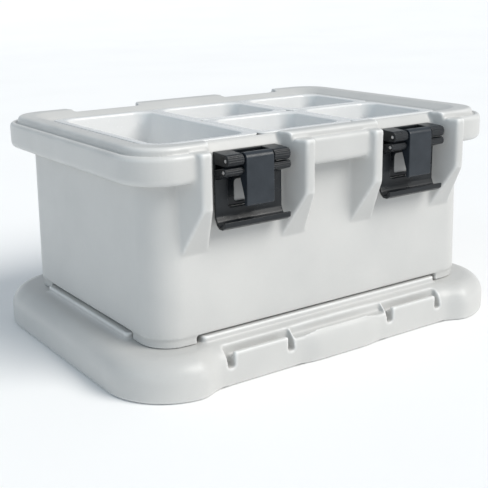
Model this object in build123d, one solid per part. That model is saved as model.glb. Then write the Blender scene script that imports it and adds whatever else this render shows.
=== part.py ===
from build123d import *
import os

# Insulated food carrier: a foam-filled, double-walled pan carrier that stands on its own
# detached lid.  Millimetres, +Z up, +X along the long side, -Y is the front.  The origin is
# the centre of the lid's underside.

# Skins
SKIN = 4.0
REST_GAP = 0.3

# Lid
LID_HALF_X = 349.0
LID_HALF_Y = 257.4
LID_CORNER_R = 100.0
LID_CORNER_LEAVE = 5.0
LID_TOP_Z = 58.0
LID_SHOULDER_R = 30.0
LID_FOOT_R = 4.0
PLATEAU_Z = 68.0
PLATEAU_LONG = (303.0, 134.0)
PLATEAU_WIDE = (223.0, 211.0)
PLATEAU_CORNER_R = 6.0
PLATEAU_EDGE_R = 1.5

# Lid catches, one under each latch station
STATION_X = 147.5
CATCH_FACE_Y = 243.5
CATCH_OUTER_X = 62.0
CATCH_INNER_X = 66.0
RIDGE_HALF_X = 46.0
RIDGE_TOP_Z = 49.0
RIDGE_LOW_Z = 25.0
RIDGE_INNER_Y = 235.0
RIDGE_EDGE_R = 2.5
GROOVE_INNER_Y = 225.0
GROOVE_FLOOR_Z = 39.5
GROOVE_ROOT_R = 3.0
NOTCH_OUTER_X = 57.5
NOTCH_FLOOR_Z = 27.0
NOTCH_ROOT_R = 2.0
CENTRE_HALF_X = 44.0
CENTRE_FACE_Y = 248.0
VALLEY_HALF_X = 88.0
VALLEY_OUTER_Y = 240.0
VALLEY_FLOOR_Z = 42.0
VALLEY_ROOT_R = 5.0

# Lid underside, which fits over the carrier's rim
SKIRT_HALF_X = 329.0
SKIRT_HALF_Y = 240.0
SKIRT_CORNER_R = 68.0
SKIRT_DEPTH = 6.5
CHANNEL_HALF_X = 318.0
CHANNEL_HALF_Y = 229.0
CHANNEL_CORNER_R = 57.0
CHANNEL_DEPTH = 16.5
PLUG_HALF_X = 267.0
PLUG_HALF_Y = 178.0
PLUG_CORNER_R = 26.0
PLUG_DEPTH = 9.0
KEY_INNER_Y = 212.0
KEY_HALF_X = 58.0

# Lid foam core: a wide low tier, a high tier inside the shoulder, and the plug
LOW_TIER_HALF_X = 340.0
LOW_TIER_CORNER_R = 90.0
LOW_TIER_TOP_Z = 44.0
HIGH_TIER_HALF_X = 322.0
HIGH_TIER_CORNER_R = 80.0
CORE_HALF_Y = 206.0

# Carrier body
WALL_HALF_X = 296.5
WALL_HALF_Y = 208.0
WALL_CORNER_R = 48.0
WALL_TAPER = 1.0
BODY_BOTTOM_Z = 70.0
BOTTOM_EDGE_R = 4.0
FOOT_INSET = 2.0
FOOT_EDGE_R = 1.5
FOOT_INNER_X = 231.0
FOOT_INNER_Y = 138.0

# Rim
RIM_HALF_X = 325.0
RIM_HALF_Y = 236.0
RIM_CORNER_R = 64.0
RIM_BOTTOM_Z = 289.0
SHOULDER_Z = 329.0
SHOULDER_R = 7.0
RIM_LOWER_R = 8.0
CREST_INSET = 13.0
CREST_Z = 338.0
CREST_R = 6.0
GUTTER_WIDTH = 5.0
GUTTER_DEPTH = 1.5

# Well, pan ledge and cavity
WELL_HALF_X = 272.0
WELL_HALF_Y = 183.0
WELL_CORNER_R = 30.0
WELL_EDGE_Z = 330.0
WELL_FLARE = 18.0
LEDGE_Z = 327.0
CAVITY_HALF_X = 257.0
CAVITY_HALF_Y = 155.0
CAVITY_CORNER_R = 26.0
CAVITY_FLOOR_Z = 108.0
CAVITY_FLOOR_R = 16.0

# Latch stations: a flat pad on the wall between two ribs
PAD_Y = 206.0
PAD_BACK_Y = 190.0
PAD_HALF_X = 62.0
PAD_LOW_Z = 244.0
RELIEF_TOP_Y = 195.0
RIB_FRONT_Y = 246.0
RIB_ROOT_Y = 200.0
RIB_ROOT_IN_X = 59.0
RIB_ROOT_OUT_X = 106.5
RIB_FRONT_IN_X = 77.0
RIB_FRONT_OUT_X = 92.0
RIB_SLANT_HIGH_Z = 254.0
RIB_SLANT_LOW_Z = 190.0
RIB_EDGE_R = 5.0
RIB_TOP_R = 4.0
RIB_ROOT_EASE = 1.2
RIB_FRONT_EASE = 0.8
POCKET_ROOT_IN = 2.0
POCKET_FLARE = 8.0
POCKET_OUT = 18.0
POCKET_DEPTH = 37.0

# Latch
PIN_R = 2.5
PIN_CLEARANCE = 0.06
BASE_HALF_X = 51.0
BASE_THICK = 4.5
BASE_TOP_Z = 322.0
BASE_LOW_Z = 246.0
BASE_CORNER_R = 6.0
WINDOW_HALF_X = 20.5
WINDOW_LOW_Z = 251.0
WINDOW_HIGH_Z = 282.0
WINDOW_CORNER_R = 5.0
KNUCKLE_INNER_X = 24.5
HANDLE_PIN_Y = 235.0
HANDLE_PIN_Z = 313.0
KNUCKLE_R = 8.0
HOOK_PIN_Y = 234.0
HOOK_PIN_Z = 298.0
BARREL_R = 6.0
BARREL_OUTER_X = 54.0
STRAP_HALF_X = 22.5
STRAP_FRONT_Y = 244.0
STRAP_BACK_Y = 237.0
STRAP_LOW_Z = 250.0
STRAP_BOSS_R = 9.0
STRAP_NECK = 7.0
STRAP_NECK_Z = 281.0
STRAP_THIN_Z = 262.0
HOOK_HALF_X = 55.0
HOOK_BACK_Y = 212.5
HOOK_FRONT_Y = 216.5
FORK_HALF_X = 34.5
FORK_LOW_Z = 246.0
FORK_ROOT_R = 5.0
# Curled lip as (distance out, drop below the hook pin), from its root at the plate's back
# round the outside of the curl and back along the inside
LIP_OUTLINE = [(HOOK_BACK_Y, 58.0), (HOOK_BACK_Y, 64.0), (218.0, 74.0), (224.0, 78.0),
               (231.0, 78.0), (237.5, 74.0), (238.0, 67.0), (234.5, 67.0), (231.0, 73.0),
               (225.0, 74.0), (219.5, 69.0), (HOOK_FRONT_Y, 62.0), (HOOK_FRONT_Y, 58.0)]
WEB_HEIGHT = 5.5
WEB_ROOT_DROP = 12.0
PIN_END_INSET = 0.5
PIN_CHAMFER = 0.4

# Fasteners
SCREW_X = 36.0
SCREW_Z = (256.0, 289.0)
SCREW_R = 2.5
SCREW_HEAD_R = 5.0
SCREW_HEAD_DEPTH = 2.6
SCREW_LENGTH = 16.0
SCREW_HOLE_CLEARANCE = 0.1
INSERT_R = 4.5
INSERT_LENGTH = 15.0
FILL_PLUG_R = 12.0
FILL_PLUG_X = 120.0

# Food pans: one third-size pan and four sixth-size pans fill a full-size opening
PAN_PITCH_X = 176.5
PAN_PITCH_Y = 162.5
PAN_GAP = 0.8
PAN_FLANGE_R = 13.0
PAN_FLANGE_THICK = 3.0
PAN_LIP = 13.0
PAN_WALL = 2.2
PAN_DEPTH = 100.0
PAN_TAPER = 4.0
PAN_OPENING_R = 26.0
PAN_FLOOR_R = 14.0
PAN_FLANGE_EDGE_R = 1.2

# Cutting solids run past the faces they cut by this much
OVERRUN = 5.0


def rounded_block(half_x, half_y, radius, z_low, z_high, taper=0.0):
    """Upright block with rounded vertical corners, centred on the Z axis."""
    outline = RectangleRounded(2 * half_x, 2 * half_y, radius)
    return Pos(0, 0, z_low) * extrude(outline, z_high - z_low, taper=taper)


def box_between(x_range, y_range, z_range):
    """Box given by its low and high coordinate along each axis."""
    size = [high - low for low, high in (x_range, y_range, z_range)]
    middle = [(high + low) / 2 for low, high in (x_range, y_range, z_range)]
    return Pos(*middle) * Box(*size)


def round_top(solid, radius):
    """Round the edges of the highest face."""
    return fillet(solid.faces().sort_by(Axis.Z)[-1].edges(), radius)


def round_bottom(solid, radius):
    """Round the edges of the lowest face."""
    return fillet(solid.faces().sort_by(Axis.Z)[0].edges(), radius)


def side_profile(points, half_x, centre_x=0.0):
    """Solid with the given (distance out, height) profile, extruded along X.

    Distance out is measured from the XZ plane towards the front."""
    corners = [(-out, height) for out, height in points]
    face = make_face(Polyline(*corners, close=True))
    solid = Plane.YZ * extrude(face, half_x, both=True)
    return Pos(centre_x, 0, 0) * solid


def plan_profile(points, z_low, z_high):
    """Upright solid with the given (x, distance out) plan."""
    corners = [(x, -out) for x, out in points]
    face = make_face(Polyline(*corners, close=True))
    return Pos(0, 0, z_low) * extrude(face, z_high - z_low)


def x_rod(radius, x_low, x_high, out, height):
    """Round rod along X at a distance out from the XZ plane."""
    rod = Cylinder(radius, x_high - x_low, rotation=(0, 90, 0))
    return Pos((x_low + x_high) / 2, -out, height) * rod


def y_rod(radius, y_low, y_high, x, z):
    """Round rod along Y."""
    rod = Cylinder(radius, y_high - y_low, rotation=(90, 0, 0))
    return Pos(x, (y_low + y_high) / 2, z) * rod


def at_all_stations(solid):
    """Four copies of a solid drawn about x = 0 at the front, one for each latch station."""
    copies = []
    for turn in (0, 180):
        for x in (-STATION_X, STATION_X):
            copies.append(Rot(0, 0, turn) * Pos(x, 0, 0) * solid)
    return copies


def mirrored_pair(solid):
    """A solid and its mirror image across the YZ plane."""
    return [solid, mirror(solid, Plane.YZ)]


# ---------------------------------------------------------------- lid

def lid_plateau(inset, z_low, z_high):
    """Raised cross on the lid's top that keys between the carrier's corner feet."""
    long_x, long_y = PLATEAU_LONG
    wide_x, wide_y = PLATEAU_WIDE
    along = rounded_block(long_x - inset, long_y - inset, PLATEAU_CORNER_R, z_low, z_high)
    across = rounded_block(wide_x - inset, wide_y - inset, PLATEAU_CORNER_R, z_low, z_high)
    return along + across


def lid_outline():
    """Plan of the lid: broad corners, set-back catch faces and a fuller centre, with smooth
    curves between them."""
    centre_x = LID_HALF_X - LID_CORNER_R
    centre_y = LID_HALF_Y - LID_CORNER_R
    corner = CenterArc((-centre_x, -centre_y), LID_CORNER_R, 180, 90 - LID_CORNER_LEAVE)
    catch_start = (-STATION_X - CATCH_OUTER_X, -CATCH_FACE_Y)
    catch_end = (-STATION_X + CATCH_INNER_X, -CATCH_FACE_Y)
    centre_start = (-CENTRE_HALF_X, -CENTRE_FACE_Y)
    quarter = [
        corner,
        Spline(corner @ 1, catch_start, tangents=[corner % 1, (1, 0)]),
        Line(catch_start, catch_end),
        Spline(catch_end, centre_start, tangents=[(1, 0), (1, 0)]),
    ]
    half = quarter + [mirror(edge, Plane.YZ) for edge in quarter]
    half.append(Line(centre_start, (CENTRE_HALF_X, -CENTRE_FACE_Y)))
    outline = half + [mirror(edge, Plane.XZ) for edge in half]
    for x in (-LID_HALF_X, LID_HALF_X):
        outline.append(Line((x, -centre_y), (x, centre_y)))
    return make_face(outline)


def lid_catch_cuts():
    """Everything cut from one latch station of the lid, drawn about x = 0 at the front."""
    out = LID_HALF_Y + OVERRUN
    crown = box_between((-RIDGE_HALF_X, RIDGE_HALF_X), (-out, -GROOVE_INNER_Y),
                        (RIDGE_TOP_Z, LID_TOP_Z + 1))
    groove = box_between((-NOTCH_OUTER_X, NOTCH_OUTER_X), (-RIDGE_INNER_Y, -GROOVE_INNER_Y),
                         (GROOVE_FLOOR_Z, LID_TOP_Z + 1))
    groove = fillet(groove.edges().filter_by(Axis.X).group_by(Axis.Z)[0], GROOVE_ROOT_R)
    notch = box_between((RIDGE_HALF_X, NOTCH_OUTER_X), (-out, -GROOVE_INNER_Y),
                        (NOTCH_FLOOR_Z, LID_TOP_Z + 1))
    notch = fillet(notch.edges().filter_by(Axis.Y).group_by(Axis.Z)[0], NOTCH_ROOT_R)
    return [crown, groove] + mirrored_pair(notch)


def lid_ridge():
    """Upright ridge that a hook's lip curls behind, drawn about x = 0 at the front."""
    ridge = box_between((-RIDGE_HALF_X, RIDGE_HALF_X), (-CATCH_FACE_Y, -RIDGE_INNER_Y),
                        (RIDGE_LOW_Z, RIDGE_TOP_Z))
    return fillet(ridge.edges().filter_by(Axis.X).group_by(Axis.Z)[-1], RIDGE_EDGE_R)


def lid_valley():
    """Valley along the top between the two front stations."""
    valley = box_between((-VALLEY_HALF_X, VALLEY_HALF_X),
                         (-VALLEY_OUTER_Y, -GROOVE_INNER_Y), (VALLEY_FLOOR_Z, LID_TOP_Z + 1))
    return fillet(valley.edges().filter_by(Axis.X).group_by(Axis.Z)[0], VALLEY_ROOT_R)


def lid_underside():
    """Recess, crest channel and plug in the lid's underside, less the station keys."""
    recess = rounded_block(SKIRT_HALF_X, SKIRT_HALF_Y, SKIRT_CORNER_R, -1, SKIRT_DEPTH)
    channel = rounded_block(CHANNEL_HALF_X, CHANNEL_HALF_Y, CHANNEL_CORNER_R, -1, CHANNEL_DEPTH)
    plug = rounded_block(PLUG_HALF_X, PLUG_HALF_Y, PLUG_CORNER_R, PLUG_DEPTH, CHANNEL_DEPTH + 1)
    key = box_between((-KEY_HALF_X, KEY_HALF_X), (-LID_HALF_Y, -KEY_INNER_Y),
                      (-2, CHANNEL_DEPTH + 1))
    return recess + channel - plug - at_all_stations(key)


def lid_core():
    """Foam core of the lid, which is also the hollow of its shell."""
    core = rounded_block(HIGH_TIER_HALF_X, CORE_HALF_Y, HIGH_TIER_CORNER_R,
                         CHANNEL_DEPTH + SKIN, LID_TOP_Z - SKIN)
    core += rounded_block(LOW_TIER_HALF_X, CORE_HALF_Y, LOW_TIER_CORNER_R,
                          CHANNEL_DEPTH + SKIN, LOW_TIER_TOP_Z)
    core += rounded_block(PLUG_HALF_X - SKIN, PLUG_HALF_Y - SKIN, PLUG_CORNER_R - SKIN,
                          PLUG_DEPTH + SKIN, CHANNEL_DEPTH + SKIN + 1)
    core += lid_plateau(SKIN, LID_TOP_Z - SKIN - 1, PLATEAU_Z - SKIN)
    return core


def fill_plugs(z_low):
    """Two round plugs that close the foaming holes in a skin."""
    plugs = []
    for x in (-FILL_PLUG_X, FILL_PLUG_X):
        plugs.append(Pos(x, 0, z_low + SKIN / 2) * Cylinder(FILL_PLUG_R, SKIN))
    return plugs


def lid_shell():
    block = extrude(lid_outline(), LID_TOP_Z)
    block = round_bottom(round_top(block, LID_SHOULDER_R), LID_FOOT_R)
    cuts = [lid_valley(), Rot(0, 0, 180) * lid_valley()]
    for cut in lid_catch_cuts():
        cuts += at_all_stations(cut)
    block -= cuts
    block += at_all_stations(lid_ridge())
    block += round_top(lid_plateau(0, LID_TOP_Z - 1, PLATEAU_Z), PLATEAU_EDGE_R)
    block -= lid_underside()
    block -= lid_core()
    return block - fill_plugs(PLUG_DEPTH)


# ---------------------------------------------------------------- carrier body

def rib(inset):
    """Tapered rib beside a latch, on the +X side of a station drawn about x = 0."""
    at_root = RIB_ROOT_EASE * inset
    at_front = RIB_FRONT_EASE * inset
    plan = plan_profile(
        [(RIB_ROOT_IN_X + at_root, RIB_ROOT_Y), (RIB_FRONT_IN_X + at_front, RIB_FRONT_Y - inset),
         (RIB_FRONT_OUT_X - at_front, RIB_FRONT_Y - inset), (RIB_ROOT_OUT_X - at_root, RIB_ROOT_Y)],
        RIB_SLANT_LOW_Z - 20, SHOULDER_Z - inset)
    if inset == 0:
        plan = fillet(plan.edges().filter_by(Axis.Z).group_by(Axis.Y)[0], RIB_EDGE_R)
        plan = fillet(plan.edges().group_by(Axis.Z)[-1].filter_by(
            lambda edge: edge.center().Y < -RIB_ROOT_Y - OVERRUN), RIB_TOP_R)
    slope = (RIB_FRONT_Y - WALL_HALF_Y) / (RIB_SLANT_HIGH_Z - RIB_SLANT_LOW_Z)
    foot_drop = (WALL_HALF_Y - RIB_ROOT_Y) / slope
    below = side_profile(
        [(RIB_FRONT_Y + 20, RIB_SLANT_HIGH_Z + 20 / slope),
         (RIB_ROOT_Y, RIB_SLANT_LOW_Z - foot_drop), (RIB_ROOT_Y - OVERRUN, BODY_BOTTOM_Z),
         (RIB_FRONT_Y + 20, BODY_BOTTOM_Z)], 2 * RIB_ROOT_OUT_X)
    return plan - Pos(0, 0, RIB_ROOT_EASE * inset) * below


def pocket(inset):
    """Space between the two ribs of a station, cut through the rim in front of the pad."""
    root_x = PAD_HALF_X - POCKET_ROOT_IN + inset
    mouth_x = RIB_FRONT_IN_X + POCKET_FLARE + inset
    mouth_y = RIB_FRONT_Y + POCKET_OUT
    return plan_profile(
        [(-root_x, PAD_Y - inset), (-mouth_x, mouth_y), (mouth_x, mouth_y), (root_x, PAD_Y - inset)],
        RIM_BOTTOM_Z - POCKET_DEPTH - inset, CREST_Z + OVERRUN)


def pad(inset):
    """Flat pad that a latch base is screwed to."""
    return box_between((-PAD_HALF_X + inset, PAD_HALF_X - inset), (-PAD_Y + inset, -PAD_BACK_Y),
                       (PAD_LOW_Z + inset, SHOULDER_Z))


def relief(inset):
    """Slope above a latch base, from the pad's face back to the top of the crest."""
    return side_profile(
        [(PAD_Y - inset, BASE_TOP_Z), (RELIEF_TOP_Y - inset, CREST_Z + 0.1),
         (RIM_HALF_Y, CREST_Z + 0.1), (RIM_HALF_Y, BASE_TOP_Z)],
        PAD_HALF_X - POCKET_ROOT_IN + inset)


def rim_blocks(inset):
    """Rim band and its raised crest, each smaller all round by inset."""
    low = RIM_BOTTOM_Z + inset
    band = rounded_block(RIM_HALF_X - inset, RIM_HALF_Y - inset, RIM_CORNER_R - inset,
                         low, SHOULDER_Z - inset)
    back = CREST_INSET + inset
    crest = rounded_block(RIM_HALF_X - back, RIM_HALF_Y - back, RIM_CORNER_R - back,
                          SHOULDER_Z - inset - 2, CREST_Z - inset)
    return band, crest


def well_flare(inset):
    """Slope from the top of the crest down to the well's edge."""
    rings = []
    for flare, height in ((0, WELL_EDGE_Z), (WELL_FLARE, CREST_Z)):
        out = flare + inset
        outline = RectangleRounded(2 * (WELL_HALF_X + out), 2 * (WELL_HALF_Y + out),
                                   WELL_CORNER_R + out)
        rings.append(Pos(0, 0, height - inset / 2) * outline)
    return loft(rings)


def carrier_core():
    """Foam core of the carrier body, which is also the hollow of its shell."""
    core = rounded_block(WALL_HALF_X - SKIN, WALL_HALF_Y - SKIN, WALL_CORNER_R - SKIN,
                         BODY_BOTTOM_Z + SKIN, RIM_BOTTOM_Z + SKIN + 2, WALL_TAPER)
    band, crest = rim_blocks(SKIN)
    core += band + crest
    core -= well_flare(SKIN)
    core += at_all_stations(pad(SKIN))
    core -= at_all_stations(pocket(SKIN))
    core -= at_all_stations(relief(SKIN))
    for side in mirrored_pair(rib(SKIN)):
        core += at_all_stations(side)
    core -= rounded_block(CAVITY_HALF_X + SKIN, CAVITY_HALF_Y + SKIN, CAVITY_CORNER_R + SKIN,
                          CAVITY_FLOOR_Z - SKIN, CREST_Z)
    core -= rounded_block(WELL_HALF_X + SKIN, WELL_HALF_Y + SKIN, WELL_CORNER_R + SKIN,
                          LEDGE_Z - SKIN, CREST_Z)
    return core


def corner_feet():
    """Four corner feet that follow the body's outline."""
    pads = rounded_block(WALL_HALF_X - FOOT_INSET, WALL_HALF_Y - FOOT_INSET,
                         WALL_CORNER_R - FOOT_INSET, LID_TOP_Z + REST_GAP, BODY_BOTTOM_Z + 2)
    pads = round_bottom(pads, FOOT_EDGE_R)
    feet = []
    for sign_x in (-1, 1):
        for sign_y in (-1, 1):
            corner = box_between(sorted((sign_x * FOOT_INNER_X, sign_x * WALL_HALF_X)),
                                 sorted((sign_y * FOOT_INNER_Y, sign_y * WALL_HALF_Y)),
                                 (LID_TOP_Z, BODY_BOTTOM_Z + 2))
            feet.append(pads & corner)
    return feet


def carrier_envelope():
    """Carrier body as if it were solid plastic."""
    body = rounded_block(WALL_HALF_X, WALL_HALF_Y, WALL_CORNER_R, BODY_BOTTOM_Z,
                         RIM_BOTTOM_Z + 2 * SKIN, WALL_TAPER)
    body = round_bottom(body, BOTTOM_EDGE_R)
    band, crest = rim_blocks(0)
    band = round_bottom(round_top(band, SHOULDER_R), RIM_LOWER_R)
    crest = round_top(crest, CREST_R)
    gutter_half_x = RIM_HALF_X - CREST_INSET + GUTTER_WIDTH
    gutter_half_y = RIM_HALF_Y - CREST_INSET + GUTTER_WIDTH
    gutter = rounded_block(gutter_half_x, gutter_half_y, RIM_CORNER_R - CREST_INSET + GUTTER_WIDTH,
                           SHOULDER_Z - GUTTER_DEPTH, SHOULDER_Z + OVERRUN)
    body += band
    body -= gutter
    body += crest - well_flare(0)
    body -= at_all_stations(pocket(0))
    body += at_all_stations(pad(0))
    body -= at_all_stations(relief(0))
    for side in mirrored_pair(rib(0)):
        body += at_all_stations(side)
    body += corner_feet()
    return body


def carrier_shell():
    body = carrier_envelope()
    top = CREST_Z + OVERRUN
    cavity = rounded_block(CAVITY_HALF_X, CAVITY_HALF_Y, CAVITY_CORNER_R, CAVITY_FLOOR_Z, top)
    body -= round_bottom(cavity, CAVITY_FLOOR_R)
    body -= rounded_block(WELL_HALF_X, WELL_HALF_Y, WELL_CORNER_R, LEDGE_Z, top)
    body -= carrier_core()
    body -= fill_plugs(BODY_BOTTOM_Z)
    for insert in station_inserts():
        body -= at_all_stations(insert)
    return body


def carrier_insulation():
    core = carrier_core()
    for insert in station_inserts():
        core -= at_all_stations(insert)
    return core


# ---------------------------------------------------------------- latch, drawn about x = 0

def station_inserts():
    """Blind threaded inserts moulded into a pad, as solid slugs."""
    slugs = []
    for x in (-SCREW_X, SCREW_X):
        for z in SCREW_Z:
            slugs.append(y_rod(INSERT_R, -PAD_Y, -PAD_Y + INSERT_LENGTH, x, z))
    return slugs


def screw_shanks(radius):
    """Screw shanks from the face of the base plate into the inserts."""
    face_y = -PAD_Y - BASE_THICK
    shanks = []
    for x in (-SCREW_X, SCREW_X):
        for z in SCREW_Z:
            shank = y_rod(radius, face_y, face_y + SCREW_LENGTH, x, z)
            cone = Cone(SCREW_R, SCREW_HEAD_R, SCREW_HEAD_DEPTH, rotation=(90, 0, 0))
            shanks.append(shank + Pos(x, face_y + SCREW_HEAD_DEPTH / 2, z) * cone)
    return shanks


def latch_inserts():
    """Threaded inserts with their screw holes."""
    holes = screw_shanks(SCREW_R)
    return [slug - holes for slug in station_inserts()]


def latch_base():
    """Base plate with two knuckles for the handle pin and a finger window."""
    plate = box_between((-BASE_HALF_X, BASE_HALF_X), (-PAD_Y - BASE_THICK, -PAD_Y),
                        (BASE_LOW_Z, BASE_TOP_Z))
    plate = fillet(plate.edges().filter_by(Axis.Y).group_by(Axis.Z)[0], BASE_CORNER_R)
    window = box_between((-WINDOW_HALF_X, WINDOW_HALF_X), (-PAD_Y - 2 * OVERRUN, -PAD_Y + OVERRUN),
                         (WINDOW_LOW_Z, WINDOW_HIGH_Z))
    plate -= fillet(window.edges().filter_by(Axis.Y), WINDOW_CORNER_R)
    plate_face = PAD_Y + BASE_THICK
    arm = side_profile(
        [(plate_face - 1, BASE_TOP_Z), (HANDLE_PIN_Y, HANDLE_PIN_Z + KNUCKLE_R),
         (HANDLE_PIN_Y, HANDLE_PIN_Z - KNUCKLE_R), (plate_face - 1, HANDLE_PIN_Z - KNUCKLE_R)],
        (BASE_HALF_X - KNUCKLE_INNER_X) / 2, (BASE_HALF_X + KNUCKLE_INNER_X) / 2)
    nose = x_rod(KNUCKLE_R, KNUCKLE_INNER_X, BASE_HALF_X, HANDLE_PIN_Y, HANDLE_PIN_Z)
    knuckle = arm + nose
    base = plate + mirrored_pair(knuckle)
    base -= x_rod(PIN_R, -BASE_HALF_X - 1, BASE_HALF_X + 1, HANDLE_PIN_Y, HANDLE_PIN_Z)
    return base - screw_shanks(SCREW_R + SCREW_HOLE_CLEARANCE)


def latch_handle():
    """Strap that swings on the handle pin and carries the hook pin."""
    boss = x_rod(STRAP_BOSS_R, -STRAP_HALF_X, STRAP_HALF_X, HANDLE_PIN_Y, HANDLE_PIN_Z)
    tip_r = (STRAP_FRONT_Y - STRAP_BACK_Y) / 2
    tip = x_rod(tip_r, -STRAP_HALF_X, STRAP_HALF_X, STRAP_FRONT_Y - tip_r, STRAP_LOW_Z + tip_r)
    strap = side_profile(
        [(STRAP_FRONT_Y, HANDLE_PIN_Z), (HANDLE_PIN_Y - STRAP_BOSS_R, HANDLE_PIN_Z),
         (HANDLE_PIN_Y - STRAP_BOSS_R, HOOK_PIN_Z - BARREL_R),
         (STRAP_BACK_Y - STRAP_NECK, STRAP_NECK_Z), (STRAP_BACK_Y, STRAP_THIN_Z),
         (STRAP_BACK_Y, STRAP_LOW_Z + tip_r),
         (STRAP_FRONT_Y, STRAP_LOW_Z + tip_r)], STRAP_HALF_X)
    handle = strap + boss + tip
    handle -= x_rod(PIN_R + PIN_CLEARANCE, -STRAP_HALF_X - 1, STRAP_HALF_X + 1,
                    HANDLE_PIN_Y, HANDLE_PIN_Z)
    handle -= x_rod(PIN_R, -STRAP_HALF_X - 1, STRAP_HALF_X + 1, HOOK_PIN_Y, HOOK_PIN_Z)
    return handle


def latch_hook():
    """Forked plate with a curled lip that catches the lid's ridge."""
    plate = box_between((-HOOK_HALF_X, HOOK_HALF_X), (-HOOK_FRONT_Y, -HOOK_BACK_Y),
                        (HOOK_PIN_Z - 60, HOOK_PIN_Z + 1))
    lip = side_profile([(out, HOOK_PIN_Z - drop) for out, drop in LIP_OUTLINE], HOOK_HALF_X)
    fork = box_between((-FORK_HALF_X, FORK_HALF_X),
                       (-HOOK_FRONT_Y - OVERRUN, -HOOK_BACK_Y + OVERRUN),
                       (FORK_LOW_Z, HOOK_PIN_Z + 2 * BARREL_R))
    fork = fillet(fork.edges().filter_by(Axis.Y).group_by(Axis.Z)[0], FORK_ROOT_R)
    hook = plate + lip - fork
    web_mid = (FORK_HALF_X + 0.5 + BARREL_OUTER_X) / 2
    web = side_profile(
        [(HOOK_BACK_Y, HOOK_PIN_Z + 1), (HOOK_PIN_Y - 2, HOOK_PIN_Z + WEB_HEIGHT),
         (HOOK_PIN_Y, HOOK_PIN_Z - WEB_HEIGHT), (HOOK_FRONT_Y, HOOK_PIN_Z - WEB_ROOT_DROP),
         (HOOK_BACK_Y, HOOK_PIN_Z - WEB_ROOT_DROP)], BARREL_OUTER_X - web_mid, web_mid)
    barrel = x_rod(BARREL_R, KNUCKLE_INNER_X, BARREL_OUTER_X, HOOK_PIN_Y, HOOK_PIN_Z)
    hook += mirrored_pair(web + barrel)
    return hook - x_rod(PIN_R + PIN_CLEARANCE, -BARREL_OUTER_X - 1, BARREL_OUTER_X + 1,
                        HOOK_PIN_Y, HOOK_PIN_Z)


def latch_pin(half_length, out, height):
    """Plain pin with chamfered ends."""
    pin = x_rod(PIN_R, -half_length, half_length, out, height)
    return chamfer(pin.edges().filter_by(GeomType.CIRCLE), PIN_CHAMFER)


# ---------------------------------------------------------------- food pans

def food_pan(size_x, size_y):
    """Flanged pan, its flange resting on the ledge, drawn about the Z axis."""
    top = LEDGE_Z + REST_GAP + PAN_FLANGE_THICK
    half_x = size_x / 2 - PAN_GAP / 2
    half_y = size_y / 2 - PAN_GAP / 2
    flange = rounded_block(half_x, half_y, PAN_FLANGE_R, top - PAN_FLANGE_THICK, top)
    flange = round_top(flange, PAN_FLANGE_EDGE_R)
    inner_x = half_x - PAN_LIP
    inner_y = half_y - PAN_LIP
    outside = RectangleRounded(2 * (inner_x + PAN_WALL), 2 * (inner_y + PAN_WALL),
                               PAN_OPENING_R + PAN_WALL)
    inside = RectangleRounded(2 * inner_x, 2 * inner_y, PAN_OPENING_R)
    cup = Pos(0, 0, top - 1) * extrude(outside, -(PAN_DEPTH - 1), taper=PAN_TAPER)
    cup = round_bottom(cup, PAN_FLOOR_R)
    hollow = Pos(0, 0, top) * extrude(inside, -(PAN_DEPTH - PAN_WALL), taper=PAN_TAPER)
    hollow = round_bottom(hollow, PAN_FLOOR_R - PAN_WALL)
    return flange + cup - hollow


def write(name, solids):
    """Write one node, a solid or a list of separate solids."""
    if isinstance(solids, (list, tuple)):
        solids = Compound(children=list(solids))
    export_step(solids, os.path.join("parts", name + ".step"))


def main():
    os.makedirs("parts", exist_ok=True)
    write("lid_shell", lid_shell())
    write("lid_insulation", lid_core())
    write("lid_fill_plugs", fill_plugs(PLUG_DEPTH))
    write("carrier_shell", carrier_shell())
    write("carrier_insulation", carrier_insulation())
    write("carrier_fill_plugs", fill_plugs(BODY_BOTTOM_Z))

    pieces = {
        "base": latch_base(),
        "handle": latch_handle(),
        "hook": latch_hook(),
        "handle_pin": latch_pin(BASE_HALF_X - PIN_END_INSET, HANDLE_PIN_Y, HANDLE_PIN_Z),
        "hook_pin": latch_pin(BARREL_OUTER_X - PIN_END_INSET, HOOK_PIN_Y, HOOK_PIN_Z),
        "screws": screw_shanks(SCREW_R),
        "inserts": latch_inserts(),
    }
    stations = {
        "front_left": Pos(-STATION_X, 0, 0),
        "front_right": Pos(STATION_X, 0, 0),
        "rear_left": Rot(0, 0, 180) * Pos(STATION_X, 0, 0),
        "rear_right": Rot(0, 0, 180) * Pos(-STATION_X, 0, 0),
    }
    for station, place in stations.items():
        for piece, solids in pieces.items():
            group = solids if isinstance(solids, list) else [solids]
            write("latch_" + station + "_" + piece, [place * solid for solid in group])

    write("pan_third", Pos(-PAN_PITCH_X, 0, 0) * food_pan(PAN_PITCH_X, 2 * PAN_PITCH_Y))
    sixth = food_pan(PAN_PITCH_X, PAN_PITCH_Y)
    for column, x in (("middle", 0), ("right", PAN_PITCH_X)):
        for row, y in (("front", -PAN_PITCH_Y / 2), ("rear", PAN_PITCH_Y / 2)):
            write("pan_sixth_" + column + "_" + row, Pos(x, y, 0) * sixth)


main()
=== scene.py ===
"""Looks of the insulated food carrier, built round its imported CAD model."""
import math

import bmesh
import bpy
import numpy as np
from mathutils import Matrix, Vector


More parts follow.
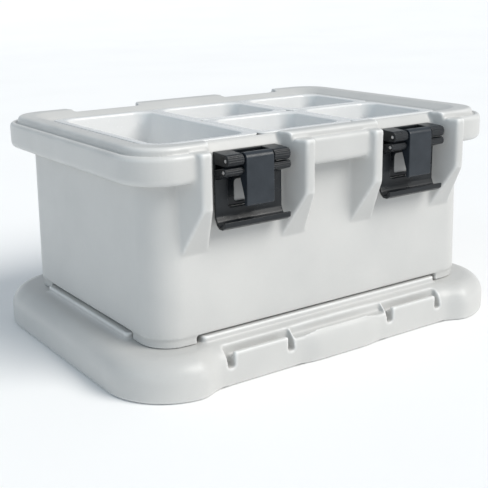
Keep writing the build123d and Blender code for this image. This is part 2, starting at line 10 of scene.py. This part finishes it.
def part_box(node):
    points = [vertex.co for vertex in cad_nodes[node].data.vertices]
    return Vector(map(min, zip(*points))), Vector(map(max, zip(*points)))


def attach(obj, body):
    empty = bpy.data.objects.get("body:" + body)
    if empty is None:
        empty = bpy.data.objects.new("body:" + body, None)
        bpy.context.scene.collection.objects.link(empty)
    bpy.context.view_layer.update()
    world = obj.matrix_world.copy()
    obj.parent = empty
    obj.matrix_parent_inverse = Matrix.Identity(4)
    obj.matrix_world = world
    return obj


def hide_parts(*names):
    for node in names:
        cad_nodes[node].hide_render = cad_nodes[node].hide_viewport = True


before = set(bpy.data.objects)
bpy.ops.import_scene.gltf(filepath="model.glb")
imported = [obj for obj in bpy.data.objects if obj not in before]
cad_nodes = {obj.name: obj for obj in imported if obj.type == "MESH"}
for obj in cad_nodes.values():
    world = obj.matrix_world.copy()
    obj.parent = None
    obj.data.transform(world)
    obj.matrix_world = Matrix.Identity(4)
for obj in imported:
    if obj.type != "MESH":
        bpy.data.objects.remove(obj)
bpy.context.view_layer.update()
MM = 0.001

STATIONS = ("front_left", "front_right", "rear_left", "rear_right")


def node_centre(node):
    """Middle of a CAD node's box."""
    low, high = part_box(node)
    return (low + high) / 2


STATION_X = -node_centre("latch_front_left_handle_pin").x

CAMERA_PLACE = (-0.85203, -1.22187, 0.53784)
CAMERA_YAW, CAMERA_PITCH, CAMERA_ROLL = 34.627, 15.85, -0.985
CAMERA_LENS = 68.41
CAMERA_SENSOR = 36.0

SKY_COLOUR = (0.86, 0.93, 1.0, 1.0)
SKY_STRENGTH = 0.52

FLOOR_FLAT_RADIUS = 6.0
FLOOR_OUTER_RADIUS = 14.0
FLOOR_LIFT = 1.5
FLOOR_RINGS = 12
FLOOR_SPOKES = 64


# ---------------------------------------------------------------- loops of vertices

def circle(bm, spokes, radius, centre_x, height):
    """Vertices round a level circle whose centre is on the XZ plane."""
    verts = []
    for k in range(spokes):
        angle = 2 * math.pi * k / spokes
        place = (centre_x + radius * math.cos(angle), radius * math.sin(angle), height)
        verts.append(bm.verts.new(place))
    return verts


def bridge(bm, first, second):
    """Band of faces between two loops with the same number of vertices."""
    for k in range(len(first)):
        n = (k + 1) % len(first)
        bm.faces.new((first[k], first[n], second[n], second[k]))


# ---------------------------------------------------------------- camera, light, floor

def add_camera():
    """Camera at the viewing angle of the reference: low, off the front left corner."""
    data = bpy.data.cameras.new("camera")
    data.sensor_width = CAMERA_SENSOR
    data.lens = CAMERA_LENS
    data.clip_start = 0.05
    data.clip_end = 100.0
    camera = bpy.data.objects.new("camera", data)
    bpy.context.scene.collection.objects.link(camera)
    yaw, pitch, roll = (math.radians(a) for a in (CAMERA_YAW, CAMERA_PITCH, CAMERA_ROLL))
    turn = Matrix.Rotation(-yaw, 4, "Z") @ Matrix.Rotation(math.pi / 2 - pitch, 4, "X")
    place = Matrix.Translation(CAMERA_PLACE)
    camera.matrix_world = place @ turn @ Matrix.Rotation(roll, 4, "Z")
    bpy.context.scene.camera = camera


def add_sun(name, azimuth, elevation, strength, colour, softness):
    """Soft distant light. Azimuth 0 shines along +Y, and a positive one comes from the right."""
    data = bpy.data.lights.new(name, "SUN")
    data.energy = strength
    data.color = colour
    data.angle = math.radians(softness)
    sun = bpy.data.objects.new(name, data)
    bpy.context.scene.collection.objects.link(sun)
    a, e = math.radians(azimuth), math.radians(elevation)
    source = Vector((math.sin(a) * math.cos(e), -math.cos(a) * math.cos(e), math.sin(e)))
    sun.rotation_mode = "QUATERNION"
    sun.rotation_quaternion = source.to_track_quat("Z", "Y")


def add_world():
    """Even, slightly cool studio surround."""
    world = bpy.data.worlds.new("studio")
    world.use_nodes = True
    background = world.node_tree.nodes["Background"]
    background.inputs["Color"].default_value = SKY_COLOUR
    background.inputs["Strength"].default_value = SKY_STRENGTH
    bpy.context.scene.world = world
    bpy.context.scene.view_settings.view_transform = "Standard"


def add_floor():
    """Plain pale floor, gently curved up far behind the object on every side."""
    bm = bmesh.new()
    previous = None
    for i in range(FLOOR_RINGS + 1):
        share = i / FLOOR_RINGS
        radius = FLOOR_FLAT_RADIUS + (FLOOR_OUTER_RADIUS - FLOOR_FLAT_RADIUS) * share
        loop = circle(bm, FLOOR_SPOKES, radius, 0.0, FLOOR_LIFT * share * share)
        if previous is None:
            bm.faces.new(loop)
        else:
            bridge(bm, previous, loop)
        previous = loop
    bmesh.ops.recalc_face_normals(bm, faces=bm.faces)
    mesh = bpy.data.meshes.new("floor")
    bm.to_mesh(mesh)
    bm.free()
    floor = bpy.data.objects.new("floor", mesh)
    bpy.context.scene.collection.objects.link(floor)
    mesh.materials.append(floor_material())


# ---------------------------------------------------------------- materials

def new_material(name):
    """Material with its node tree, its shader and an object-space coordinate socket."""
    material = bpy.data.materials.new(name)
    material.use_nodes = True
    tree = material.node_tree
    shader = tree.nodes["Principled BSDF"]
    place = tree.nodes.new("ShaderNodeTexCoord").outputs["Object"]
    return material, tree, shader, place


def noise(tree, place, scale, detail=2.0, rough=0.5, stretch=None):
    """Noise value between 0 and 1, at so many grains per metre."""
    if stretch is not None:
        mapping = tree.nodes.new("ShaderNodeMapping")
        mapping.inputs["Scale"].default_value = stretch
        tree.links.new(place, mapping.inputs["Vector"])
        place = mapping.outputs["Vector"]
    node = tree.nodes.new("ShaderNodeTexNoise")
    node.inputs["Scale"].default_value = scale
    node.inputs["Detail"].default_value = detail
    node.inputs["Roughness"].default_value = rough
    tree.links.new(place, node.inputs["Vector"])
    return node.outputs["Fac"]


def ramp(tree, value, stops):
    """Colour or value read from a list of (position, colour) stops."""
    node = tree.nodes.new("ShaderNodeValToRGB")
    elements = node.color_ramp.elements
    while len(elements) < len(stops):
        elements.new(0.5)
    for element, (position, colour) in zip(elements, stops):
        element.position = position
        element.color = tuple(colour) + (1.0,)
    tree.links.new(value, node.inputs["Fac"])
    return node.outputs["Color"]


def remap(tree, value, low, high, out_low, out_high):
    """Value mapped linearly from one range to another and held at its ends."""
    node = tree.nodes.new("ShaderNodeMapRange")
    for socket, number in (("From Min", low), ("From Max", high), ("To Min", out_low),
                           ("To Max", out_high)):
        node.inputs[socket].default_value = number
    tree.links.new(value, node.inputs["Value"])
    return node.outputs["Result"]


def blend_colour(tree, share, first, second, mode="MIX"):
    """Mix of two colours; each is a socket or three numbers, and share a socket or a number."""
    node = tree.nodes.new("ShaderNodeMix")
    node.data_type = "RGBA"
    node.blend_type = mode
    inputs = node.inputs
    for socket, value in ((inputs[0], share), (inputs[6], first), (inputs[7], second)):
        if isinstance(value, bpy.types.NodeSocket):
            tree.links.new(value, socket)
        elif isinstance(value, float):
            socket.default_value = value
        else:
            socket.default_value = tuple(value) + (1.0,)
    return node.outputs[2]


def bump(tree, shader, heights):
    """Chain of bumps from a list of (height socket, strength, distance in metres)."""
    normal = None
    for height, strength, distance in heights:
        node = tree.nodes.new("ShaderNodeBump")
        node.inputs["Strength"].default_value = strength
        node.inputs["Distance"].default_value = distance
        tree.links.new(height, node.inputs["Height"])
        if normal is not None:
            tree.links.new(normal, node.inputs["Normal"])
        normal = node.outputs["Normal"]
    tree.links.new(normal, shader.inputs["Normal"])


def edge_mask(tree, low, high):
    """1 along outward edges of the mesh, and 0 on flats and in hollows."""
    pointiness = tree.nodes.new("ShaderNodeNewGeometry").outputs["Pointiness"]
    return remap(tree, pointiness, low, high, 0.0, 1.0)


def moulded_polyethylene():
    """Light grey rotomoulded polyethylene: faint mottle, fine grain, scuffs, and paler outward
    edges that are partly wear and partly a painted highlight.
    """
    material, tree, shader, place = new_material("moulded_polyethylene")
    cloud = noise(tree, place, 9.0, 4.0)
    base = ramp(tree, cloud, [(0.3, (0.515, 0.515, 0.505)), (0.7, (0.565, 0.562, 0.548))])
    fleck = noise(tree, place, 900.0, 2.0, 0.6)
    base = blend_colour(tree, remap(tree, fleck, 0.62, 0.74, 0.0, 0.22), base, (0.42, 0.42, 0.415))
    pale = noise(tree, place, 620.0, 2.0, 0.6)
    base = blend_colour(tree, remap(tree, pale, 0.62, 0.74, 0.0, 0.2), base, (0.66, 0.655, 0.64))
    scuff = noise(tree, place, 60.0, 5.0, 0.7, (1.0, 1.0, 4.0))
    scuff = remap(tree, scuff, 0.6, 0.78, 0.0, 0.12)
    base = blend_colour(tree, scuff, base, (0.41, 0.41, 0.4))
    # Outward edges painted paler: partly worn plastic, partly a painted highlight where the
    # rounded rim and rib edges catch the light.
    base = blend_colour(tree, edge_mask(tree, 0.506, 0.55), base, (0.74, 0.74, 0.73))
    tree.links.new(base, shader.inputs["Base Color"])
    gloss = noise(tree, place, 35.0, 3.0)
    tree.links.new(remap(tree, gloss, 0.3, 0.7, 0.3, 0.42), shader.inputs["Roughness"])
    shader.inputs["Specular IOR Level"].default_value = 0.45
    peel = noise(tree, place, 320.0, 3.0, 0.55)
    waves = noise(tree, place, 22.0, 1.0)
    bump(tree, shader, [(waves, 0.25, 0.0015), (peel, 0.22, 0.0004)])
    return material


def moulded_nylon(name, dark, light, rough_low, rough_high):
    """Glass-filled nylon: fine moulded grain, with paler worn edges."""
    material, tree, shader, place = new_material(name)
    cloud = noise(tree, place, 60.0, 3.0)
    base = ramp(tree, cloud, [(0.3, dark), (0.75, light)])
    worn = tuple(1.8 * c + 0.006 for c in light)
    specks = remap(tree, noise(tree, place, 400.0, 3.0), 0.6, 0.8, 0.0, 0.25)
    base = blend_colour(tree, specks, base, worn)
    base = blend_colour(tree, edge_mask(tree, 0.53, 0.64), base, worn)
    tree.links.new(base, shader.inputs["Base Color"])
    gloss = noise(tree, place, 140.0, 4.0)
    tree.links.new(remap(tree, gloss, 0.3, 0.7, rough_low, rough_high), shader.inputs["Roughness"])
    shader.inputs["Specular IOR Level"].default_value = 0.4
    grain = noise(tree, place, 2600.0, 2.0, 0.6)
    bump(tree, shader, [(grain, 0.25, 0.0001)])
    return material


def pan_plastic():
    """Glossy white pan plastic with faint utensil scratches."""
    material, tree, shader, place = new_material("pan_plastic")
    cloud = noise(tree, place, 14.0, 3.0)
    base = ramp(tree, cloud, [(0.3, (0.73, 0.735, 0.735)), (0.7, (0.77, 0.77, 0.765))])
    tree.links.new(base, shader.inputs["Base Color"])
    scratch = noise(tree, place, 160.0, 4.0, 0.6, (1.0, 14.0, 1.0))
    tree.links.new(remap(tree, scratch, 0.45, 0.75, 0.14, 0.34), shader.inputs["Roughness"])
    shader.inputs["Coat Weight"].default_value = 0.15
    bump(tree, shader, [(scratch, 0.06, 0.0002), (noise(tree, place, 30.0), 0.1, 0.0006)])
    return material


def turned_metal(name, colour, tint, stretch):
    """Drawn or turned metal with fine marks along the stretched direction."""
    material, tree, shader, place = new_material(name)
    marks = noise(tree, place, 1800.0, 3.0, 0.6, stretch)
    base = ramp(tree, marks, [(0.3, tint), (0.7, colour)])
    tree.links.new(base, shader.inputs["Base Color"])
    shader.inputs["Metallic"].default_value = 1.0
    tree.links.new(remap(tree, marks, 0.3, 0.7, 0.2, 0.38), shader.inputs["Roughness"])
    bump(tree, shader, [(marks, 0.15, 0.00005)])
    return material


def foam():
    """Cream rigid foam with open cells."""
    material, tree, shader, place = new_material("foam")
    cells = tree.nodes.new("ShaderNodeTexVoronoi")
    cells.inputs["Scale"].default_value = 700.0
    tree.links.new(place, cells.inputs["Vector"])
    base = ramp(tree, cells.outputs["Distance"],
                [(0.0, (0.62, 0.52, 0.33)), (0.5, (0.86, 0.78, 0.58))])
    tree.links.new(base, shader.inputs["Base Color"])
    rough = remap(tree, noise(tree, place, 90.0), 0.3, 0.7, 0.8, 0.95)
    tree.links.new(rough, shader.inputs["Roughness"])
    bump(tree, shader, [(cells.outputs["Distance"], 0.5, 0.0006)])
    return material


def floor_material():
    """Matt white studio floor."""
    material, tree, shader, place = new_material("studio_floor")
    cloud = noise(tree, place, 1.5, 2.0)
    tree.links.new(ramp(tree, cloud, [(0.3, (0.93, 0.93, 0.93)), (0.7, (0.95, 0.95, 0.95))]),
                   shader.inputs["Base Color"])
    shader.inputs["Roughness"].default_value = 0.9
    shader.inputs["Specular IOR Level"].default_value = 0.1
    return material


# ---------------------------------------------------------------- softened mouldings

def joined_mesh(name, nodes):
    """One mesh that holds copies of several CAD nodes' meshes."""
    bm = bmesh.new()
    for node in nodes:
        bm.from_mesh(cad_nodes[node].data)
    mesh = bpy.data.meshes.new(name)
    bm.to_mesh(mesh)
    bm.free()
    return mesh


def with_modifier(mesh, kind, settings):
    """New mesh that one modifier makes of a mesh, which it takes the place of."""
    helper = bpy.data.objects.new("helper", mesh)
    bpy.context.scene.collection.objects.link(helper)
    modifier = helper.modifiers.new("step", kind)
    for key, value in settings.items():
        setattr(modifier, key, value)
    evaluated = helper.evaluated_get(bpy.context.evaluated_depsgraph_get())
    made = bpy.data.meshes.new_from_object(evaluated)
    bpy.data.objects.remove(helper)
    bpy.data.meshes.remove(mesh)
    return made


def vertex_array(mesh):
    """Vertex places of a mesh, one row each."""
    co = np.empty(len(mesh.vertices) * 3)
    mesh.vertices.foreach_get("co", co)
    return co.reshape(-1, 3)


def edge_array(mesh):
    """Vertex numbers of a mesh's edges, one row each."""
    edges = np.empty(len(mesh.edges) * 2, np.int32)
    mesh.edges.foreach_get("vertices", edges)
    return edges.reshape(-1, 2)


def island_labels(count, edges):
    """Number of the connected piece that each vertex is on."""
    label = np.arange(count)
    while True:
        low = np.minimum(label[edges[:, 0]], label[edges[:, 1]])
        fresh = label.copy()
        np.minimum.at(fresh, edges[:, 0], low)
        np.minimum.at(fresh, edges[:, 1], low)
        fresh = fresh[fresh]
        if (fresh == label).all():
            return label
        label = fresh


def drop_small_islands(mesh):
    """Remove every connected piece but the largest."""
    label = island_labels(len(mesh.vertices), edge_array(mesh))
    names, counts = np.unique(label, return_counts=True)
    if len(names) == 1:
        return
    keep = label == names[counts.argmax()]
    bm = bmesh.new()
    bm.from_mesh(mesh)
    bm.verts.ensure_lookup_table()
    stray = [bm.verts[i] for i in np.flatnonzero(~keep)]
    bmesh.ops.delete(bm, geom=stray, context="VERTS")
    bm.to_mesh(mesh)
    bm.free()


def relax(co, edges, passes, weight):
    """Move each vertex half way to its neighbours' mean, a number of times."""
    count = len(co)
    first, second = edges[:, 0], edges[:, 1]
    degree = np.bincount(first, minlength=count) + np.bincount(second, minlength=count)
    for _ in range(passes):
        mean = np.empty_like(co)
        for axis in range(3):
            total = np.bincount(first, co[second, axis], count)
            total += np.bincount(second, co[first, axis], count)
            mean[:, axis] = total / degree
        co = co + 0.5 * weight[:, None] * (mean - co)
    return co


def softened(name, nodes, voxel, passes, faces, stiffness=None, carve=None):
    """Closed skin round the union of some CAD nodes, with all its edges softened.

    stiffness gives each vertex's share of the softening, and carve shapes details after it."""
    mesh = joined_mesh(name, nodes)
    mesh = with_modifier(mesh, "REMESH", {"mode": "VOXEL", "voxel_size": voxel})
    drop_small_islands(mesh)
    co = vertex_array(mesh)
    weight = np.ones(len(co)) if stiffness is None else stiffness(co)
    co = relax(co, edge_array(mesh), passes, weight)
    if carve is not None:
        co = carve(co)
    mesh.vertices.foreach_set("co", co.ravel())
    mesh.update()
    triangles = 2 * len(mesh.polygons)
    if triangles > faces:
        mesh = with_modifier(mesh, "DECIMATE", {"ratio": faces / triangles})
    mesh.name = name
    return mesh


def add_hollow(mesh, core_node):
    """Add the inner surface of a foam-filled skin: the foam core's surface, facing inwards."""
    bm = bmesh.new()
    bm.from_mesh(mesh)
    core = bmesh.new()
    core.from_mesh(cad_nodes[core_node].data)
    bmesh.ops.reverse_faces(core, faces=core.faces)
    inner = bpy.data.meshes.new("inner")
    core.to_mesh(inner)
    core.free()
    bm.from_mesh(inner)
    bpy.data.meshes.remove(inner)
    bm.to_mesh(mesh)
    bm.free()


def smoothstep(value, low, high):
    """Smooth rise from 0 at low to 1 at high."""
    share = np.clip((value - low) / (high - low), 0.0, 1.0)
    return share * share * (3.0 - 2.0 * share)


def add_piece(name, mesh, material, body, replaced, place=None):
    """Link a mesh as a piece that rides on a body and stands for CAD nodes."""
    mesh.materials.clear()
    mesh.materials.append(material)
    mesh.shade_smooth()
    piece = bpy.data.objects.new(name, mesh)
    bpy.context.scene.collection.objects.link(piece)
    if place is not None:
        piece.matrix_world = place
    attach(piece, body)
    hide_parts(*replaced)
    return piece


# ---------------------------------------------------------------- the two shells

RIM = (325.0 * MM, 236.0 * MM, 64.0 * MM)  # half length, half width, corner radius
RIM_STEP_Z = 318.0 * MM
RIM_STEP_INSET = 18.0 * MM
FOOT_TOP_Z = 73.0 * MM
LID_TOP_Z = 58.5 * MM
CATCH_OUT = 221.0 * MM
CATCH_HALF_X = 59.0 * MM
CATCH_LOW_Z = 20.0 * MM
GUTTER_INSET = 10.6 * MM
GUTTER_WIDTH = 2.8 * MM
GUTTER_DEPTH = 1.8 * MM
GUTTER_LOW_Z = 320.0 * MM
SHELL_VOXEL = 2.0 * MM
SHELL_PASSES = 8
SHELL_FACES = 190_000


def inset_from(co, half_x, half_y, radius):
    """Distance of each point inside a rounded rectangle about the Z axis, negative outside."""
    dx = np.abs(co[:, 0]) - (half_x - radius)
    dy = np.abs(co[:, 1]) - (half_y - radius)
    corner = np.hypot(np.maximum(dx, 0.0), np.maximum(dy, 0.0))
    return radius - corner - np.minimum(np.maximum(dx, dy), 0.0)


def carrier_stiffness(co):
    """Full softening, but less of it round the rim's shoulder and crest and at the feet."""
    inset = inset_from(co, *RIM)
    on_step = smoothstep(co[:, 2], RIM_STEP_Z, RIM_STEP_Z + 6 * MM)
    on_step *= 1.0 - smoothstep(inset, RIM_STEP_INSET, RIM_STEP_INSET + 8 * MM)
    at_feet = 1.0 - smoothstep(co[:, 2], FOOT_TOP_Z, FOOT_TOP_Z + 5 * MM)
    return 1.0 - 0.75 * np.maximum(on_step, at_feet)


def lid_stiffness(co):
    """Full softening, but less of it on the raised cross and round the catches."""
    on_cross = smoothstep(co[:, 2], LID_TOP_Z, LID_TOP_Z + 1.5 * MM)
    from_station = np.abs(np.abs(co[:, 0]) - STATION_X)
    at_catch = smoothstep(np.abs(co[:, 1]), CATCH_OUT, CATCH_OUT + 4 * MM)
    at_catch *= 1.0 - smoothstep(from_station, CATCH_HALF_X, CATCH_HALF_X + 5 * MM)
    at_catch *= smoothstep(co[:, 2], CATCH_LOW_Z, CATCH_LOW_Z + 6 * MM)
    return 1.0 - np.maximum(0.85 * on_cross, 0.6 * at_catch)


def carve_gutter(co):
    """Soft groove between the rim's shoulder and its raised crest."""
    across = (inset_from(co, *RIM) - GUTTER_INSET) / GUTTER_WIDTH
    on_shoulder = smoothstep(co[:, 2], GUTTER_LOW_Z, GUTTER_LOW_Z + 6 * MM)
    depth = GUTTER_DEPTH * np.exp(-across * across) * on_shoulder
    co = co.copy()
    co[:, 2] -= depth
    return co


def build_shells(plastic):
    """Softened skins of the carrier's body and of the lid."""
    body_nodes = ["carrier_shell", "carrier_insulation", "carrier_fill_plugs"]
    body_nodes += [f"latch_{station}_inserts" for station in STATIONS]
    body_nodes += [f"latch_{station}_screws" for station in STATIONS]
    carrier = softened("carrier_skin", body_nodes, SHELL_VOXEL, SHELL_PASSES, SHELL_FACES,
                       carrier_stiffness, carve_gutter)
    add_hollow(carrier, "carrier_insulation")
    add_piece("carrier_skin", carrier, plastic, "carrier", ["carrier_shell"])
    lid = softened("lid_skin", ["lid_shell", "lid_insulation", "lid_fill_plugs"],
                   SHELL_VOXEL, SHELL_PASSES, SHELL_FACES, lid_stiffness)
    add_hollow(lid, "lid_insulation")
    add_piece("lid_skin", lid, plastic, "lid", ["lid_shell"])


CAP_SPOKES = 48
CAP_EMBED = 2.0 * MM
CAP_PROUD = 0.8 * MM


def fill_plug_mesh(node):
    """Two shallow domed caps, standing just proud of the skin they close."""
    low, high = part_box(node)
    radius = (high.y - low.y) / 2
    profile = [(radius, CAP_EMBED), (radius, -0.1 * MM), (radius - 0.3 * MM, -0.45 * MM),
               (radius - 1.0 * MM, -0.6 * MM), (radius / 2, -CAP_PROUD)]
    bm = bmesh.new()
    for x in (low.x + radius, high.x - radius):
        loops = [circle(bm, CAP_SPOKES, r, x, low.z + lift) for r, lift in profile]
        for upper, lower in zip(loops, loops[1:]):
            bridge(bm, upper, lower)
        bm.faces.new(loops[0])
        bm.faces.new(loops[-1])
    bmesh.ops.recalc_face_normals(bm, faces=bm.faces)
    mesh = bpy.data.meshes.new(node + "_caps")
    bm.to_mesh(mesh)
    bm.free()
    return mesh


def build_fill_plugs(plastic):
    """Caps over the foaming holes under the carrier's body and under the lid."""
    for body in ("carrier", "lid"):
        node = body + "_fill_plugs"
        add_piece(node + "_caps", fill_plug_mesh(node), plastic, body, [node])


# ---------------------------------------------------------------- latches

LATCH_VOXEL = 0.6 * MM
LATCH_PASSES = 4
LATCH_FACES = 40_000
FLUTE_PITCH = 3.6 * MM
FLUTE_DEPTH = 0.8 * MM
FLUTE_EASE = 0.08
HANDLE_NOSE_R = 8.0 * MM
HOOK_NOSE_R = 6.0 * MM


def flute(co, pin_node, radius, low_degrees, high_degrees):
    """Cut shallow grooves along X into the round nose about a front latch pin.

    Angles are measured from straight out, upwards positive."""
    pin = node_centre(pin_node)
    turn_low, turn_high = math.radians(low_degrees), math.radians(high_degrees)
    out = pin.y - co[:, 1]
    up = co[:, 2] - pin.z
    distance = np.hypot(out, up)
    angle = np.arctan2(up, out)
    on_nose = smoothstep(distance, radius - 1.2 * MM, radius - 0.5 * MM)
    on_nose *= smoothstep(angle, turn_low - FLUTE_EASE, turn_low + FLUTE_EASE)
    on_nose *= 1.0 - smoothstep(angle, turn_high - FLUTE_EASE, turn_high + FLUTE_EASE)
    wave = 0.5 + 0.5 * np.cos(2 * math.pi * angle * radius / FLUTE_PITCH)
    shrink = 1.0 - FLUTE_DEPTH * on_nose * wave ** 3 / np.maximum(distance, 1e-6)
    co = co.copy()
    co[:, 1] = pin.y - out * shrink
    co[:, 2] = pin.z + up * shrink
    return co


def carve_base(co):
    """Grip flutes on the knuckles of a latch base."""
    return flute(co, "latch_front_left_handle_pin", HANDLE_NOSE_R, -35, 95)


def carve_hook(co):
    """Grip flutes on the barrels of a hook."""
    return flute(co, "latch_front_left_hook_pin", HOOK_NOSE_R, -60, 80)


def station_places():
    """Where a piece drawn at the front left station goes for each of the four."""
    across = Matrix.Translation((2 * STATION_X, 0, 0))
    about = Matrix.Rotation(math.pi, 4, "Z")
    return {
        "front_left": Matrix.Identity(4),
        "front_right": across,
        "rear_left": about @ across,
        "rear_right": about,
    }


def build_latches(black, strap):
    """Mouldings of the four latches, made once at the front left and placed at each station."""
    drawn = {"base": (black, carve_base), "handle": (strap, None), "hook": (black, carve_hook)}
    places = station_places()
    for part, (material, carve) in drawn.items():
        mesh = softened("latch_" + part + "_moulding", ["latch_front_left_" + part],
                        LATCH_VOXEL, LATCH_PASSES, LATCH_FACES, None, carve)
        for station in STATIONS:
            node = f"latch_{station}_{part}"
            body = "carrier" if part == "base" else node
            add_piece(node + "_moulding", mesh, material, body, [node],
                      places[station])


# ---------------------------------------------------------------- pans

PAN_CORNER_STEPS = 10
PAN_FLANGE_THICK = 3.0 * MM
PAN_FLANGE_R = 13.0 * MM
PAN_LIP = 13.0 * MM
PAN_LIP_R = 4.0 * MM
PAN_WALL = 2.2 * MM
PAN_OPENING_R = 26.0 * MM
PAN_FLOOR_R = 13.0 * MM
PAN_EDGE_R = 1.2 * MM
PAN_SLOPE = math.tan(math.radians(4.0))
SMALLEST_R = 0.5 * MM


def ring(bm, half_x, half_y, radius, centre, height):
    """Vertices round a rounded rectangle."""
    radius = max(min(radius, half_x, half_y), SMALLEST_R)
    verts = []
    for k, (sx, sy) in enumerate(((1, 1), (-1, 1), (-1, -1), (1, -1))):
        for step in range(PAN_CORNER_STEPS + 1):
            angle = math.pi / 2 * (k + step / PAN_CORNER_STEPS)
            x = centre[0] + sx * (half_x - radius) + radius * math.cos(angle)
            y = centre[1] + sy * (half_y - radius) + radius * math.sin(angle)
            verts.append(bm.verts.new((x, y, height)))
    return verts


def bend(start, end, corner, steps):
    """Points from start to end round a corner point, as a quadratic curve."""
    points = []
    for i in range(1, steps):
        t = i / steps
        points.append(tuple((1 - t) ** 2 * a + 2 * t * (1 - t) * c + t * t * b
                            for a, b, c in zip(start, end, corner)))
    return points


def pan_profile(depth):
    """Points (in from the flange's edge, below the top), from outer floor to inner floor."""

    def wall_at(drop, out):
        """Distance in of the wall at a drop; out moves it outwards."""
        return PAN_LIP - out + drop * PAN_SLOPE

    def floor_bend(floor, out):
        """Points where the wall turns into the floor, from the wall downwards."""
        start = (wall_at(floor - PAN_FLOOR_R, out), floor - PAN_FLOOR_R)
        end = (wall_at(floor, out) + PAN_FLOOR_R, floor)
        return [start] + bend(start, end, (wall_at(floor, out), floor), 5) + [end]

    thick, ease = PAN_FLANGE_THICK, 2.5 * MM
    root = (PAN_LIP - PAN_LIP_R - 0.5 * MM, thick)
    under = (wall_at(thick + ease, PAN_WALL), thick + ease)
    points = floor_bend(depth, PAN_WALL)[::-1]
    points.append(under)
    points += bend(under, root, (wall_at(thick, PAN_WALL), thick), 3)
    points += [root, (0.8 * MM, thick), (0.2 * MM, thick - 0.3 * MM),
               (0.0, thick - 0.9 * MM), (0.0, PAN_EDGE_R)]
    points += bend((0.0, PAN_EDGE_R), (PAN_EDGE_R, 0.0), (0.0, 0.0), 3)
    lip_start, lip_end = (PAN_LIP - PAN_LIP_R, 0.0), (wall_at(PAN_LIP_R, 0), PAN_LIP_R)
    points += [(PAN_EDGE_R, 0.0), lip_start]
    points += bend(lip_start, lip_end, (PAN_LIP, 0.0), 4)
    points.append(lip_end)
    return points + floor_bend(depth - PAN_WALL, 0)


def pan_mesh(node):
    """Flanged pan that fills its CAD node's box."""
    low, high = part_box(node)
    centre = node_centre(node)
    half_x, half_y = (high.x - low.x) / 2, (high.y - low.y) / 2
    bm = bmesh.new()
    loops = []
    for inset, drop in pan_profile(high.z - low.z):
        share = min(inset / PAN_LIP, 1.0)
        radius = PAN_FLANGE_R + (PAN_OPENING_R - PAN_FLANGE_R) * share
        radius -= max(inset - PAN_LIP, 0.0)
        loops.append(ring(bm, half_x - inset, half_y - inset, radius, centre, high.z - drop))
    for outer, inner in zip(loops, loops[1:]):
        bridge(bm, outer, inner)
    bm.faces.new(reversed(loops[0]))
    bm.faces.new(loops[-1])
    bmesh.ops.remove_doubles(bm, verts=bm.verts, dist=1e-6)
    bmesh.ops.recalc_face_normals(bm, faces=bm.faces)
    mesh = bpy.data.meshes.new(node + "_moulding")
    bm.to_mesh(mesh)
    bm.free()
    return mesh


def build_pans(plastic):
    """The five food pans."""
    for node in cad_nodes:
        if node.startswith("pan_"):
            add_piece(node + "_moulding", pan_mesh(node), plastic, node, [node])


# ---------------------------------------------------------------- carried-over CAD nodes

def paint(node, material):
    """Give a carried-over CAD node its material."""
    data = cad_nodes[node].data
    data.materials.clear()
    data.materials.append(material)


def paint_cad_nodes():
    """Materials of the metal pieces and the foam cores."""
    steel = turned_metal("stainless", (0.78, 0.78, 0.79), (0.6, 0.6, 0.62), (0.05, 1.0, 1.0))
    brass = turned_metal("insert_brass", (0.8, 0.62, 0.3), (0.62, 0.46, 0.2), (1.0, 0.05, 1.0))
    cream = foam()
    for node in cad_nodes:
        if node.endswith(("_pin", "_screws")):
            paint(node, steel)
        elif node.endswith("_inserts"):
            paint(node, brass)
        elif node.endswith("_insulation"):
            paint(node, cream)


def main():
    add_camera()
    add_world()
    add_sun("key", azimuth=30, elevation=42, strength=2.6,
            colour=(1.0, 0.975, 0.935), softness=35)
    add_sun("cool_side", azimuth=-80, elevation=12, strength=0.42,
            colour=(0.45, 0.78, 1.0), softness=60)
    add_floor()
    plastic = moulded_polyethylene()
    black = moulded_nylon("latch_nylon", dark=(0.004, 0.0055, 0.0075),
                          light=(0.008, 0.0105, 0.0135), rough_low=0.26, rough_high=0.4)
    strap = moulded_nylon("strap_nylon", dark=(0.013, 0.018, 0.024),
                          light=(0.022, 0.028, 0.036), rough_low=0.28, rough_high=0.4)
    build_shells(plastic)
    build_fill_plugs(plastic)
    build_latches(black, strap)
    build_pans(pan_plastic())
    paint_cad_nodes()


main()
